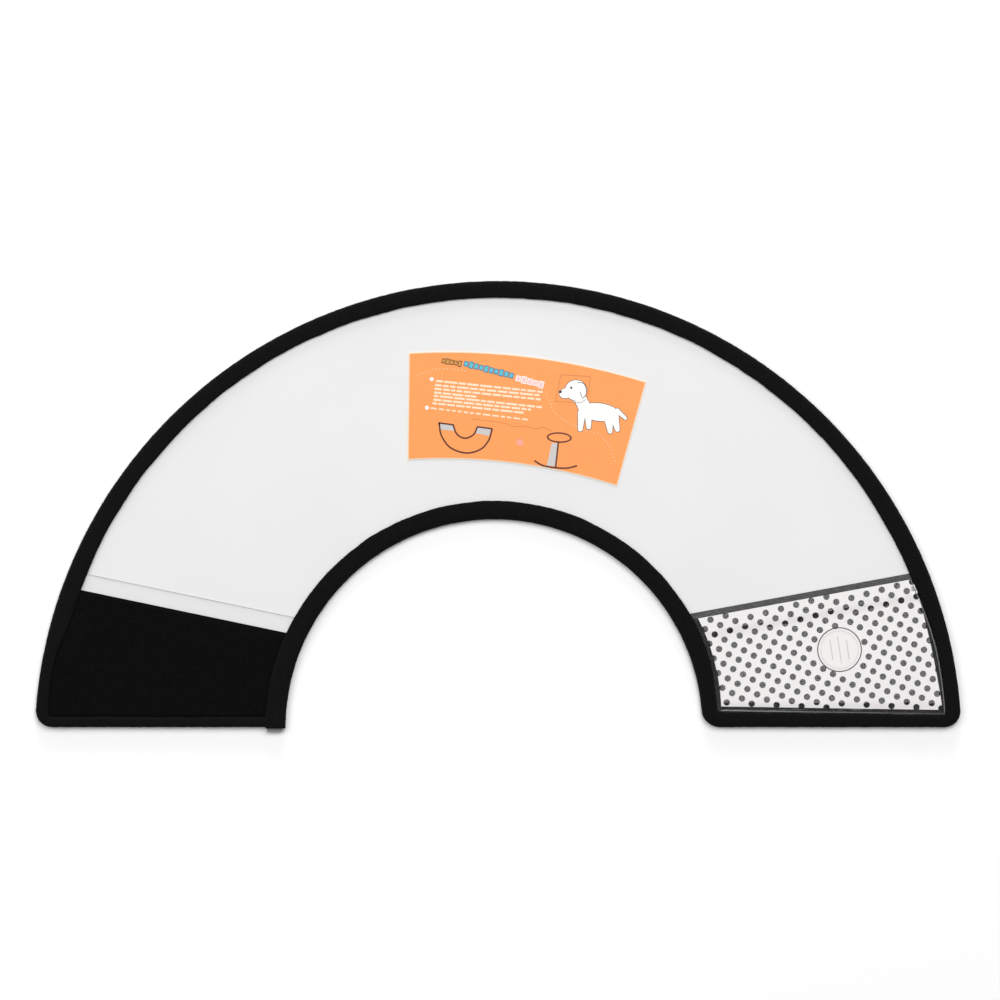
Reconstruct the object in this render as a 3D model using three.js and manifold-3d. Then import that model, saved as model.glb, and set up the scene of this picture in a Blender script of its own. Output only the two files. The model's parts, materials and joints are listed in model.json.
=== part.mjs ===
// Elizabethan collar (pet cone), lying flat with its printed front face up.
// A half ring of flexible plastic sheet with a fleece binding round its whole edge, a loop panel on the
// left end, a hook panel under a clear film on the right end, and a printed card on the front.
// The sheet bends as it is rolled into a cone. Here it is cut at fold lines that all meet in one point,
// the cone's apex, so each sector is stiff and turns about the fold line beside it.
// Millimetres, +X to the right, +Y towards the top of the arch, +Z out of the front face.

import * as THREE from 'three';
import * as BufferGeometryUtils from 'three/addons/utils/BufferGeometryUtils.js';
import Module from 'manifold-3d';

const wasm = await Module();
wasm.setup();

// ---- Driving dimensions. The drawing's origin is the apex, where the fold lines meet. ----

const RIM = { x: 0, y: -4.1, r: 255.3 };           // outer edge of the outer binding
const RIM_LEAF = { x: -0.1, y: -2.5, r: 244.4 };   // its inner edge, on both faces
const NECK_LEAF = { x: -2.7, y: 4.9, r: 125.2 };   // outer edge of the neck binding, on both faces
const NECK = { x: -2.3, y: 5.2, r: 114.7 };        // the neck edge itself
const END_Y = 5.5;                                 // the straight lower edge of both ends
const END_LEAF_Y = END_Y + 7.5;                    // upper edge of the binding along the ends
const RIM_CORNER = 9;                              // rounding of the two outer corners
const NECK_CORNER = 10;                            // rounding of the right inner corner
const LEAF_CORNER = 2;                             // rounding inside the binding's corners

const SECTORS = 15;                                // stiff sectors between fold lines
const FOLD_GAP = 0.3;                              // slit at each fold line
const CLEAR = 0.3;                                 // between pieces that touch

const FLEECE = 1.6;                                // thickness of the folded binding tape
const SHEET_THICKNESS = 0.8;
const PANEL_THICKNESS = 1.3;                       // loop panels
const HOOK_THICKNESS = 0.9;                        // hook panel with its hooks
const FILM_THICKNESS = 0.3;
const CARD_THICKNESS = 0.4;
const STRIP_THICKNESS = 0.4;                       // strip of clear film above the loop panel

const TAB = { left: -127.2, right: -119.0, low: 2.8, high: 12 };   // sheet corner past the cut binding

const LOOP_TOP = { a: [-229.9, 81.1], b: [-113.9, 56.9] };         // upper edge of the loop panels
const STRIP_TOP = { a: [-223.3, 89.3], b: [-112.8, 66.2] };        // upper edge of the strip of film
const HOOK_TOP = { a: [105.5, 68.0], b: [226.5, 90.2] };           // upper edge of the hook panel
const CARD_LEFT_X = -49.6;
const CARD_RIGHT = { a: [65.5, 138.3], b: [81.5, 195.6] };
const CARD_UPPER = { through: [[-49.2, 211.6], [14.0, 209.9], [81.5, 195.6]] };
const CARD_LOWER = { through: [[-49.9, 152.7], [-1.8, 152.0], [65.5, 138.3]] };

const ARC_STEP = THREE.MathUtils.degToRad(2.6);    // facets of the round edges
const CORNER_STEPS = 4;
const NEAR = 20;                                   // from the apex to where the cutting wedges start
const FAR = 420;                                   // beyond everything

// ---- Heights, from the resting face up. ----

const SLOT_LOW = FLEECE;
const SHEET_LOW = SLOT_LOW + CLEAR;
const SHEET_HIGH = SHEET_LOW + SHEET_THICKNESS;
const SLOT_HIGH = SHEET_HIGH + CLEAR;
const TOP = SLOT_HIGH + FLEECE;
const BACK_HIGH = SHEET_LOW - CLEAR;               // underside pieces end here
const HOOK_HIGH = SLOT_HIGH + HOOK_THICKNESS;
const CENTRE_Y = (RIM.y + RIM.r + TAB.low) / 2;    // middle of the whole outline
const MIDDLE_R = (RIM.r + NECK.r) / 2;             // parts the outer binding from the neck binding

const TURN = Math.PI / SECTORS;
const LAST = (SECTORS - 1) / 2;                    // number of the left end's sector

// ---- Plane geometry. ----

const grown = (circle, by) => ({ x: circle.x, y: circle.y, r: circle.r + by });
const onCircle = (circle, a) => [circle.x + circle.r * Math.cos(a), circle.y + circle.r * Math.sin(a)];
const angleOn = (circle, [x, y]) => Math.atan2(y - circle.y, x - circle.x);
const flipped = (points) => points.map(([x, y]) => [-x, y]).reverse();
const mirrored = (circle) => ({ x: -circle.x, y: circle.y, r: circle.r });

/** Points along a circle between two angles, both ends included. */
function arc(circle, from, to, step = ARC_STEP) {
  const count = Math.max(2, Math.ceil(Math.abs(to - from) / step));
  return Array.from({ length: count + 1 }, (_, i) => onCircle(circle, from + (to - from) * i / count));
}

/** The circle through three points. */
function circleThrough([[ax, ay], [bx, by], [cx, cy]]) {
  const d = 2 * (ax * (by - cy) + bx * (cy - ay) + cx * (ay - by));
  const [a, b, c] = [ax * ax + ay * ay, bx * bx + by * by, cx * cx + cy * cy];
  const x = (a * (by - cy) + b * (cy - ay) + c * (ay - by)) / d;
  const y = (a * (cx - bx) + b * (ax - cx) + c * (bx - ax)) / d;
  return { x, y, r: Math.hypot(ax - x, ay - y) };
}

/** The right-hand corner between the large circle and the lower edge, rounded by r, counter-clockwise. */
function rimCorner(circle, low, r) {
  const y = low + r;
  const x = circle.x + Math.sqrt((circle.r - r) ** 2 - (y - circle.y) ** 2);
  return arc({ x, y, r }, -Math.PI / 2, angleOn(circle, [x, y]), Math.PI / 2 / CORNER_STEPS);
}

/** The right-hand corner between the neck circle and the lower edge, rounded by r, counter-clockwise. */
function neckCorner(circle, low, r) {
  const y = low + r;
  const x = circle.x + Math.sqrt((circle.r + r) ** 2 - (y - circle.y) ** 2);
  const start = angleOn({ x, y }, [circle.x, circle.y]);
  return arc({ x, y, r }, (start + 2 * Math.PI) % (2 * Math.PI), 1.5 * Math.PI, Math.PI / 2 / CORNER_STEPS);
}

/** A half ring between two circles above the lower edge, with its four corners rounded. */
function halfRing(outer, inner, low, outerCorner, innerCorner, leftInnerCorner = innerCorner) {
  const right = [...neckCorner(inner, low, innerCorner), ...rimCorner(outer, low, outerCorner)];
  const left = flipped([
    ...neckCorner(mirrored(inner), low, leftInnerCorner),
    ...rimCorner(mirrored(outer), low, outerCorner),
  ]);
  const rim = arc(outer, angleOn(outer, right.at(-1)), angleOn(outer, left[0])).slice(1, -1);
  const neck = arc(inner, angleOn(inner, left.at(-1)), angleOn(inner, right[0])).slice(1, -1);
  return [...right, ...rim, ...left, ...neck];
}

// ---- Solids. ----

/** An outline between two heights, as a three.js geometry. */
function extruded(points, low, high) {
  const shape = new THREE.Shape(points.map(([x, y]) => new THREE.Vector2(x, y)));
  const geometry = new THREE.ExtrudeGeometry(shape, { depth: high - low, bevelEnabled: false });
  return geometry.translate(0, 0, low);
}

/** A manifold solid from a closed three.js geometry. */
function solidOf(geometry) {
  const bare = geometry.clone();
  bare.deleteAttribute('normal');
  bare.deleteAttribute('uv');
  const merged = BufferGeometryUtils.mergeVertices(bare, 1e-4);
  return new wasm.Manifold(new wasm.Mesh({
    numProp: 3,
    vertProperties: merged.attributes.position.array,
    triVerts: new Uint32Array(merged.index.array),
  }));
}

const prism = (points, low, high) => solidOf(extruded(points, low, high));

/** The flat-shaded three.js geometry of a manifold solid. */
function geometryOf(solid) {
  const mesh = solid.getMesh();
  const geometry = new THREE.BufferGeometry();
  geometry.setAttribute('position', new THREE.BufferAttribute(new Float32Array(mesh.vertProperties), 3));
  geometry.setIndex(new THREE.BufferAttribute(new Uint32Array(mesh.triVerts), 1));
  const flat = geometry.toNonIndexed();
  flat.computeVertexNormals();
  return flat;
}

/** A wedge that holds sector k: 0 is the middle one, positive to the left, negative to the right. */
function sectorWedge(k) {
  const ray = (angle, side) => {
    const [along, across] = [[Math.cos(angle), Math.sin(angle)], [-Math.sin(angle), Math.cos(angle)]];
    return [NEAR, FAR].map((r) => along.map((a, i) => a * r + across[i] * side * FOLD_GAP / 2));
  };
  const middle = Math.PI / 2 + k * TURN;
  const spare = 4 * TURN;
  const [right, rightFar] = ray(middle - (k === -LAST ? spare : TURN / 2), 1);
  const [left, leftFar] = ray(middle + (k === LAST ? spare : TURN / 2), -1);
  const edge = Math.abs(k) === LAST ? [onCircle({ x: 0, y: 0, r: FAR }, middle)] : [];
  return prism([right, rightFar, ...edge, leftFar, left], -1, TOP + 1);
}

const wedges = new Map();
for (let k = -LAST; k <= LAST; k += 1) wedges.set(k, sectorWedge(k));

const disc = (r) => prism(arc({ x: 0, y: 0, r }, 0, 2 * Math.PI).slice(0, -1), -1, TOP + 1);
const innerDisc = disc(MIDDLE_R);

/** Everything below the line through a and b, as a prism. */
function belowLine({ a, b }) {
  const slope = (b[1] - a[1]) / (b[0] - a[0]);
  const at = (x) => a[1] + slope * (x - a[0]);
  return prism([[-FAR, -FAR], [FAR, -FAR], [FAR, at(FAR)], [-FAR, at(-FAR)]], -1, TOP + 1);
}

// ---- The flat pieces, before they are cut at the fold lines. ----

function flatSheet() {
  const inset = FLEECE + CLEAR;
  const outline = halfRing(grown(RIM, -inset), grown(NECK, inset), END_Y + inset,
    RIM_CORNER - inset, NECK_CORNER - inset, LEAF_CORNER);
  const tab = [[TAB.left, TAB.low], [TAB.right, TAB.low], [TAB.right, TAB.high], [TAB.left, TAB.high]];
  return prism(outline, SHEET_LOW, SHEET_HIGH).add(prism(tab, SHEET_LOW, SHEET_HIGH));
}

/** The fleece tape, folded over the sheet's edge: a front and a back leaf joined round the outside. */
function flatBinding() {
  const whole = prism(halfRing(RIM, NECK, END_Y, RIM_CORNER, NECK_CORNER, LEAF_CORNER), 0, TOP);
  const slot = prism(halfRing(grown(RIM, -FLEECE), grown(NECK, FLEECE), END_Y + FLEECE,
    RIM_CORNER - FLEECE, NECK_CORNER - FLEECE, LEAF_CORNER), SLOT_LOW, SLOT_HIGH);
  const window = prism(halfRing(RIM_LEAF, NECK_LEAF, END_LEAF_Y, LEAF_CORNER, LEAF_CORNER), -1, TOP + 1);
  const tabWay = prism([
    [TAB.left - CLEAR, TAB.low - 1], [TAB.right + CLEAR, TAB.low - 1],
    [TAB.right + CLEAR, TAB.high], [TAB.left - CLEAR, TAB.high],
  ], SLOT_LOW, SLOT_HIGH);
  return whole.subtract(slot).subtract(window).subtract(tabWay);
}

/** What lies inside the binding's leaves, between two heights. */
function betweenLeaves(low, high, inset = CLEAR) {
  return prism(halfRing(grown(RIM_LEAF, -inset), grown(NECK_LEAF, inset), END_LEAF_Y + inset,
    LEAF_CORNER, LEAF_CORNER), low, high);
}

function flatCard() {
  const upper = circleThrough(CARD_UPPER.through);
  const lower = circleThrough(CARD_LOWER.through);
  const topLeft = [CARD_LEFT_X, CARD_UPPER.through[0][1]];
  const lowLeft = [CARD_LEFT_X, CARD_LOWER.through[0][1]];
  const top = arc(upper, angleOn(upper, CARD_RIGHT.b), angleOn(upper, topLeft));
  const bottom = arc(lower, angleOn(lower, lowLeft), angleOn(lower, CARD_RIGHT.a));
  return prism([...top, ...bottom], SLOT_HIGH, SLOT_HIGH + CARD_THICKNESS);
}

const loopEdge = belowLine(LOOP_TOP);
const stripEdge = belowLine(STRIP_TOP);
const loopEdgeCleared = belowLine({
  a: [LOOP_TOP.a[0], LOOP_TOP.a[1] + CLEAR],
  b: [LOOP_TOP.b[0], LOOP_TOP.b[1] + CLEAR],
});
const hookEdge = belowLine(HOOK_TOP);

const flat = {
  sheet: flatSheet(),
  binding: flatBinding(),
  card: flatCard(),
  loopFront: betweenLeaves(SLOT_HIGH, SLOT_HIGH + PANEL_THICKNESS).intersect(loopEdge),
  loopBack: betweenLeaves(BACK_HIGH - PANEL_THICKNESS, BACK_HIGH).intersect(loopEdge),
  strip: betweenLeaves(SLOT_HIGH, SLOT_HIGH + STRIP_THICKNESS).intersect(stripEdge).subtract(loopEdgeCleared),
  hook: betweenLeaves(SLOT_HIGH, HOOK_HIGH).intersect(hookEdge),
  film: betweenLeaves(HOOK_HIGH + CLEAR, HOOK_HIGH + CLEAR + FILM_THICKNESS, 2 * CLEAR).intersect(hookEdge),
};

// ---- Materials. ----

const finish = (color, roughness, extra = {}) => new THREE.MeshStandardMaterial(
  { color, roughness, metalness: 0, ...extra });
const materials = {
  sheet: () => finish(0xf0f0f0, 0.5),
  fleece: () => finish(0x0b0b0c, 0.95),
  loop: () => finish(0x0e0e0f, 0.95),
  hook: () => finish(0x161616, 0.5),
  film: () => finish(0xe8e8ea, 0.15, { transparent: true, opacity: 0.5 }),
  card: () => finish(0xf58a4b, 0.6),
  strip: () => finish(0xf4f4f4, 0.4),
};

// ---- Assembly. ----

const model = new THREE.Group();
model.name = 'elizabethan_collar';
model.position.set(0, -CENTRE_Y, 0);

/** Sector k's name as a suffix, such as center, left_1 or right_5. */
function sectorName(k) {
  if (k === 0) return 'center';
  return `${k > 0 ? 'left' : 'right'}_${Math.abs(k)}`;
}

function addPiece(name, solid, material) {
  const mesh = new THREE.Mesh(geometryOf(solid), materials[material]());
  mesh.name = name;
  model.add(mesh);
}

const cutToSector = (solid, k) => solid.intersect(wedges.get(k));

function addBinding() {
  for (let k = 1 - LAST; k < LAST; k += 1) {
    const both = cutToSector(flat.binding, k);
    addPiece(`rim_binding_${sectorName(k)}`, both.subtract(innerDisc), 'fleece');
    addPiece(`neck_binding_${sectorName(k)}`, both.intersect(innerDisc), 'fleece');
  }
  addPiece('end_binding_right', cutToSector(flat.binding, -LAST), 'fleece');
  addPiece('end_binding_left', cutToSector(flat.binding, LAST), 'fleece');
}

/** Cuts a flat piece at the fold lines and adds what lies in each of the given sectors. */
function addSplit(name, solid, sectors, material) {
  for (const k of sectors) {
    addPiece(`${name}_${sectorName(k)}`, cutToSector(solid, k), material);
  }
}

addSplit('sheet', flat.sheet, wedges.keys(), 'sheet');
addBinding();
addSplit('loop_front', flat.loopFront, [5, 6, 7], 'loop');
addSplit('loop_back', flat.loopBack, [6, 7], 'loop');
addSplit('clear_strip', flat.strip, [5, 6], 'strip');
addSplit('hook_panel', flat.hook, [-5, -6, -7], 'hook');
addSplit('film', flat.film, [-5, -6, -7], 'film');
addSplit('card', flat.card, [-2, -1, 0, 1], 'card');

export default model;
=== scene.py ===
import json
import math

import bpy
import numpy as np
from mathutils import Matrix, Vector
from mathutils.geometry import delaunay_2d_cdt


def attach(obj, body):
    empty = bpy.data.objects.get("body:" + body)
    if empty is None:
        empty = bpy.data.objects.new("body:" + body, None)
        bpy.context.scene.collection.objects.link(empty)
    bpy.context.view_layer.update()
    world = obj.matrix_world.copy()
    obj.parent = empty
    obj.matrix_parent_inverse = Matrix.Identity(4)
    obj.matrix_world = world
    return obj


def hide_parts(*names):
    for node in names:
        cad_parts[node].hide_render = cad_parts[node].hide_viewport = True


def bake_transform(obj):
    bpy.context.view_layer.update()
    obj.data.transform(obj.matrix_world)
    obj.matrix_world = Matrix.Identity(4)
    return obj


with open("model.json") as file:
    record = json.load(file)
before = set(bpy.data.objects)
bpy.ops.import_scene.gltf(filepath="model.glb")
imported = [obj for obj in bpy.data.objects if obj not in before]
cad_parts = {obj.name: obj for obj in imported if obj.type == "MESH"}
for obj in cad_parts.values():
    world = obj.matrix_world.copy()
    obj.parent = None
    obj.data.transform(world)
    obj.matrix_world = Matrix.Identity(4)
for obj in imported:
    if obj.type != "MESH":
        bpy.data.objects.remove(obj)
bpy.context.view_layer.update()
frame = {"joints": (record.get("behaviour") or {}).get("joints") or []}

# ---- Driving dimensions: millimetres in the drawing's plan, whose origin is the apex of the fold lines ----

RIM = (0.0, -4.1, 255.3)  # circles as (x, y, radius): the outer edge of the outer binding
RIM_LEAF = (-0.1, -2.5, 244.4)  # its inner edge
NECK_LEAF = (-2.7, 4.9, 125.2)  # the outer edge of the neck binding
NECK = (-2.3, 5.2, 114.7)  # the neck edge
END_Y = 5.5  # the straight lower edge of both ends
END_LEAF = 7.4  # how far the binding reaches up from it
RIM_CORNER = 9.0
NECK_CORNER = 10.0
END_LINE = END_Y + END_LEAF  # the leaves' edge along the ends
LEAF_CORNER = 2.0
CUT_Y = 4.85  # where the neck binding is cut off on the left
LEFT_END_X = -122.5  # where the tape along the left end stops, under the neck binding

SHEET_LOW, SHEET_HIGH = 1.9, 2.7
SHEET_INSET = 4.0  # the sheet's edge inside the folded tape
LOOP_TOP = ((-229.9, 81.1), (-113.9, 56.9))
STRIP_TOP = ((-223.3, 89.3), (-112.8, 66.2))
HOOK_TOP = ((105.5, 68.0), (226.5, 90.2))

FOLDS = 7  # fold lines on each side of the middle
TURN = math.pi / 15  # angle of one sector
SHARP_ANGLE = math.radians(50)  # between faces, from which their edge is drawn sharp
SEED = 7


def plan_apex():
    """Where the fold lines meet, and their height, from two joints of the frame, in metres."""
    joints = {j["name"]: j for j in frame["joints"]}
    first, second = joints["fold_left_1"], joints["fold_right_1"]
    p, q = np.array(first["pos_m"]), np.array(second["pos_m"])
    u, v = np.array(first["axis"]), np.array(second["axis"])
    along = np.linalg.solve(np.array([u[:2], -v[:2]]).T, (q - p)[:2])[0]
    return p + u * along


APEX = plan_apex()
TOP = APEX[2] * 1000  # height of the binding's face above the resting face


def metres(points):
    """Plan millimetres, with z from the resting face, to metres in the row frame."""
    return np.asarray(points, float) / 1000 + np.array([APEX[0], APEX[1], 0])


# ---- Plan geometry ----

def on_circle(circle, angle):
    x, y, r = circle
    return np.stack([x + r * np.cos(angle), y + r * np.sin(angle)], -1)


def grown(circle, by):
    return (circle[0], circle[1], circle[2] + by)


def arc(circle, start, end, count):
    return on_circle(circle, np.linspace(start, end, count))


def distance(points, circle=(0, 0)):
    """How far plan points are from a circle's centre, or from the apex."""
    return np.hypot(points[..., 0] - circle[0], points[..., 1] - circle[1])


def moved_out(points, by):
    """Plan points moved away from the apex."""
    return points * (1 + by / distance(points))[:, None]


def unit(vectors):
    return vectors / np.linalg.norm(vectors, axis=1)[:, None]


def along_line(line):
    """A line's first point and its direction."""
    a, b = np.array(line[0]), np.array(line[1])
    return a, (b - a) / np.linalg.norm(b - a)


def hit(circle, angle):
    """Angle on the circle of the point where a ray from the apex meets it."""
    x, y, r = circle
    u = np.array([math.cos(angle), math.sin(angle)])
    b = u @ np.array([x, y])
    far = b + math.sqrt(b * b - (x * x + y * y - r * r))
    point = u * far
    return math.atan2(point[1] - y, point[0] - x)


def at_height(circle, y, side):
    """Angle on the circle of its point at height y, on the right for side 1 or the left for side -1."""
    angle = math.asin((y - circle[1]) / circle[2])
    return angle if side > 0 else math.pi - angle


def on_line(circle, line, side):
    """Angle on the circle where the straight line through two points cuts it, on the given side."""
    a, d = along_line(line)
    offset = a - np.array(circle[:2])
    middle = -(offset @ d)
    half = math.sqrt(circle[2] ** 2 - (offset @ offset) + middle ** 2)
    ends = [a + d * (middle + s * half) for s in (-1, 1)]
    end = max(ends, key=lambda p: p[0] * side)
    return math.atan2(end[1] - circle[1], end[0] - circle[0])


def circle_through(a, b, c):
    """The circle through three points."""
    p, q, r = (np.array(v, float) for v in (a, b, c))
    x, y = np.linalg.solve(2 * np.array([q - p, r - p]), [q @ q - p @ p, r @ r - p @ p])
    return (x, y, math.hypot(p[0] - x, p[1] - y))


def middle_of(k):
    """Polar angle of the middle of sector k: 0 in the centre, positive to the left."""
    return math.pi / 2 + k * TURN


def body_name(k):
    if k == 0:
        return "center"
    return f"{'left' if k > 0 else 'right'}_{abs(k)}"


# ---- Meshes ----

def new_object(name, data):
    obj = bpy.data.objects.new(name, data)
    bpy.context.scene.collection.objects.link(obj)
    return obj


def add_mesh(name, points, faces, materials, indices=None, smooth=True):
    """An object from plan millimetres, with named materials, which use each vertex's rest place."""
    mesh = bpy.data.meshes.new(name)
    placed = metres(points)
    mesh.from_pydata(placed.tolist(), [], [tuple(int(i) for i in f) for f in faces])
    rest = mesh.attributes.new("rest", "FLOAT_VECTOR", "POINT")
    rest.data.foreach_set("vector", placed.astype(np.float32).ravel())
    for material in materials:
        mesh.materials.append(MATERIALS[material])
    if indices is not None:
        mesh.polygons.foreach_set("material_index", np.asarray(indices, np.int32))
    mesh.polygons.foreach_set("use_smooth", np.full(len(mesh.polygons), smooth))
    mesh.update()
    if smooth:
        mesh.set_sharp_from_angle(angle=SHARP_ANGLE)
    return new_object(name, mesh)


def grid_faces(rows, columns, start=0, flip=False):
    i, j = np.meshgrid(np.arange(rows - 1), np.arange(columns - 1), indexing="ij")
    a = start + i * columns + j
    quads = np.stack([a, a + 1, a + columns + 1, a + columns], -1).reshape(-1, 4)
    return quads[:, ::-1] if flip else quads


def plan_grid(inner, outer, across):
    """Plan points in rows between two polylines of equal length."""
    v = np.linspace(0, 1, across)[None, :, None]
    return inner[:, None] * (1 - v) + outer[:, None] * v


def raised(plan, height):
    """Plan points at a height, which is a number or a function of them."""
    z = height(plan) if callable(height) else np.full(plan.shape[:-1], float(height))
    return np.concatenate([plan, z[..., None]], -1)


def outward(points, faces):
    """The closed body's faces, all turned outward."""
    corners = np.array([(f[0], f[i], f[i + 1]) for f in faces for i in range(1, len(f) - 1)])
    a, b, c = (points[corners[:, i]] for i in range(3))
    if (a * np.cross(b, c)).sum() < 0:
        return [f[::-1] for f in faces]
    return faces


def slab_body(inner, outer, across, low, high):
    """A closed slab between two polylines of equal length, and between heights low and high."""
    n = len(inner)
    plan = plan_grid(inner, outer, across)
    points = np.concatenate([raised(plan, high).reshape(-1, 3), raised(plan, low).reshape(-1, 3)])
    faces = list(grid_faces(n, across)) + list(grid_faces(n, across, n * across, True))
    edge = [i * across for i in range(n)] + [(n - 1) * across + j for j in range(1, across)]
    edge += [i * across + across - 1 for i in range(n - 2, -1, -1)] + list(range(across - 2, 0, -1))
    faces += [(edge[i - 1], edge[i], edge[i] + n * across, edge[i - 1] + n * across)
              for i in range(len(edge))]
    return points, outward(points, faces)


def tube(name, rows, material):
    """A closed loft: rows is (stations, profile points, 3), each profile a closed loop."""
    n, m = rows.shape[:2]
    i, j = np.meshgrid(np.arange(n - 1), np.arange(m), indexing="ij")
    a, b = i * m + j, i * m + (j + 1) % m
    faces = list(np.stack([a, b, b + m, a + m], -1).reshape(-1, 4))
    faces += [list(range(m))[::-1], list((n - 1) * m + np.arange(m))]
    points = rows.reshape(-1, 3)
    return add_mesh(name, points, outward(points, faces), [material])


def merged(name, bodies):
    """One object from closed bodies, each given as (points, faces, material)."""
    materials = list(dict.fromkeys(m for _, _, m in bodies))
    points, faces, indices, first = [], [], [], 0
    for body_points, body_faces, material in bodies:
        points.append(body_points)
        faces += [tuple(int(i) + first for i in f) for f in body_faces]
        indices += [materials.index(material)] * len(body_faces)
        first += len(body_points)
    return add_mesh(name, np.concatenate(points), faces, materials, indices)


def contains(outline, points):
    """True for each point that lies inside a closed outline."""
    a = np.asarray(outline, float)[None]
    b = np.roll(a, -1, axis=1)
    px, py = points[:, None, 0], points[:, None, 1]
    rise = b[..., 1] - a[..., 1]
    x = a[..., 0] + (py - a[..., 1]) * (b[..., 0] - a[..., 0]) / np.where(rise == 0, 1, rise)
    crosses = ((a[..., 1] > py) != (b[..., 1] > py)) & (px < x)
    return crosses.sum(1) % 2 == 1


def fill(outline, holes=(), cuts=(), spots=()):
    """Points and triangles that fill an outline round its holes, split along the cuts."""
    verts, edges = [], []
    for line, closed in [(outline, 1), *((h, 1) for h in holes), *((c, 0) for c in cuts)]:
        first, n = len(verts), len(line)
        verts += [Vector((float(x), float(y))) for x, y in line]
        edges += [(first + i, first + (i + 1) % n) for i in range(n - 1 + closed)]
    verts += [Vector((float(x), float(y))) for x, y in spots]
    found = delaunay_2d_cdt(verts, edges, [], 0, 1e-5)
    points, triangles = np.array([(p.x, p.y) for p in found[0]]), np.array(found[2])
    centres = points[triangles].mean(1)
    keep = contains(outline, centres)
    for hole in holes:
        keep &= ~contains(hole, centres)
    return points, triangles[keep]


def prism_body(points, triangles, low, high):
    """A closed body over flat triangles, between two heights."""
    used, corners = np.unique(triangles, return_inverse=True)
    corners = corners.reshape(-1, 3)
    flat = points[used]
    p, q, r = (flat[corners[:, i]] for i in range(3))
    turn = (q - p)[:, 0] * (r - p)[:, 1] - (q - p)[:, 1] * (r - p)[:, 0]
    corners[turn < 0] = corners[turn < 0][:, ::-1]
    n = len(flat)
    directed = {(int(t[i]), int(t[i - 2])) for t in corners for i in range(3)}
    walls = [(b, a, a + n, b + n) for a, b in sorted(directed) if (b, a) not in directed]
    faces = [tuple(t) for t in corners] + [tuple(t[::-1] + n) for t in corners] + walls
    return np.concatenate([raised(flat, high), raised(flat, low)]), faces


def smooth_step(x):
    x = np.clip(x, 0, 1)
    return x * x * (3 - 2 * x)


def hash_noise(points, scale, seed):
    """Smooth value noise from -1 to 1 at plan points, the same wherever it is asked for."""
    p = np.asarray(points, float) / scale + seed * 17.3
    cell = np.floor(p).astype(np.int64)
    f = p - cell
    f = f * f * (3 - 2 * f)
    total = np.zeros(p.shape[:-1])
    dims = p.shape[-1]
    for corner in np.ndindex(*([2] * dims)):
        c = cell + np.array(corner)
        h = c @ np.array([374761393, 668265263, 2147483647])[:dims] + seed * 1442695
        h = (h ^ (h >> 13)) * 1274126177
        value = ((h ^ (h >> 16)) & 0xFFFF) / 32767.5 - 1
        weight = np.prod([f[..., d] if corner[d] else 1 - f[..., d] for d in range(dims)], axis=0)
        total += value * weight
    return total


def waves(points, layers):
    """A sum of noises, given as (size, seed, height)."""
    return sum(hash_noise(points, size, seed) * height for size, seed, height in layers)


# ---- Materials ----

def new_material(name, colour, roughness, **sockets):
    material = bpy.data.materials.new(name)
    material.use_nodes = True
    shader = material.node_tree.nodes["Principled BSDF"]
    shader.inputs["Base Color"].default_value = (*colour, 1)
    shader.inputs["Roughness"].default_value = roughness
    for socket, value in sockets.items():
        shader.inputs[socket.replace("_", " ")].default_value = value
    return material, shader


def rest_coordinates(nodes):
    node = nodes.new("ShaderNodeAttribute")
    node.attribute_name = "rest"
    return node.outputs["Vector"]


def noise(material, size_mm, detail=3, stretch=None):
    """A noise texture's value, with features about size_mm across."""
    tree = material.node_tree
    node = tree.nodes.new("ShaderNodeTexNoise")
    node.inputs["Scale"].default_value = 1000 / size_mm
    node.inputs["Detail"].default_value = detail
    source = rest_coordinates(tree.nodes)
    if stretch:
        mapping = tree.nodes.new("ShaderNodeMapping")
        mapping.inputs["Scale"].default_value = stretch
        tree.links.new(source, mapping.inputs["Vector"])
        source = mapping.outputs["Vector"]
    tree.links.new(source, node.inputs["Vector"])
    return node.outputs["Fac"]


def tint(material, shader, value, stops):
    """Sets the base colour by a colour ramp over value; stops are (place, colour)."""
    tree = material.node_tree
    node = tree.nodes.new("ShaderNodeValToRGB")
    elements = node.color_ramp.elements
    while len(elements) < len(stops):
        elements.new(0.5)
    for element, (place, colour) in zip(elements, stops):
        element.position = place
        element.color = (*colour, 1)
    tree.links.new(value, node.inputs["Fac"])
    tree.links.new(node.outputs["Color"], shader.inputs["Base Color"])


def bump(material, shader, heights, distance_mm, strength=1.0):
    tree = material.node_tree
    node = tree.nodes.new("ShaderNodeBump")
    node.inputs["Distance"].default_value = distance_mm / 1000
    node.inputs["Strength"].default_value = strength
    tree.links.new(heights, node.inputs["Height"])
    tree.links.new(node.outputs["Normal"], shader.inputs["Normal"])


def grey(value):
    return (value, value, value)


def pile_material(name, dark, light, size_mm, sheen):
    """Black napped cloth: tufts in a fine noise, a few paler fibres, and a soft sheen."""
    material, shader = new_material(name, grey(dark), 0.95, Sheen_Weight=sheen, Sheen_Roughness=0.45,
                                    Specular_IOR_Level=0.06)
    stops = [(0.35, grey(dark)), (0.62, grey((dark + light) / 2)), (0.8, grey(light))]
    tint(material, shader, noise(material, size_mm, 4), stops)
    bump(material, shader, noise(material, size_mm * 0.8, 5), size_mm * 0.5)
    return material


def sheet_material():
    """Frosted polypropylene: milky, slightly see-through, with a fine matt grain."""
    material, shader = new_material("frosted_sheet", grey(0.81), 0.38, Alpha=0.9, IOR=1.49)
    tint(material, shader, noise(material, 60, 1), [(0.3, grey(0.798)), (0.7, grey(0.813))])
    bump(material, shader, noise(material, 0.5, 2), 0.02, 0.4)
    return material


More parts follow.
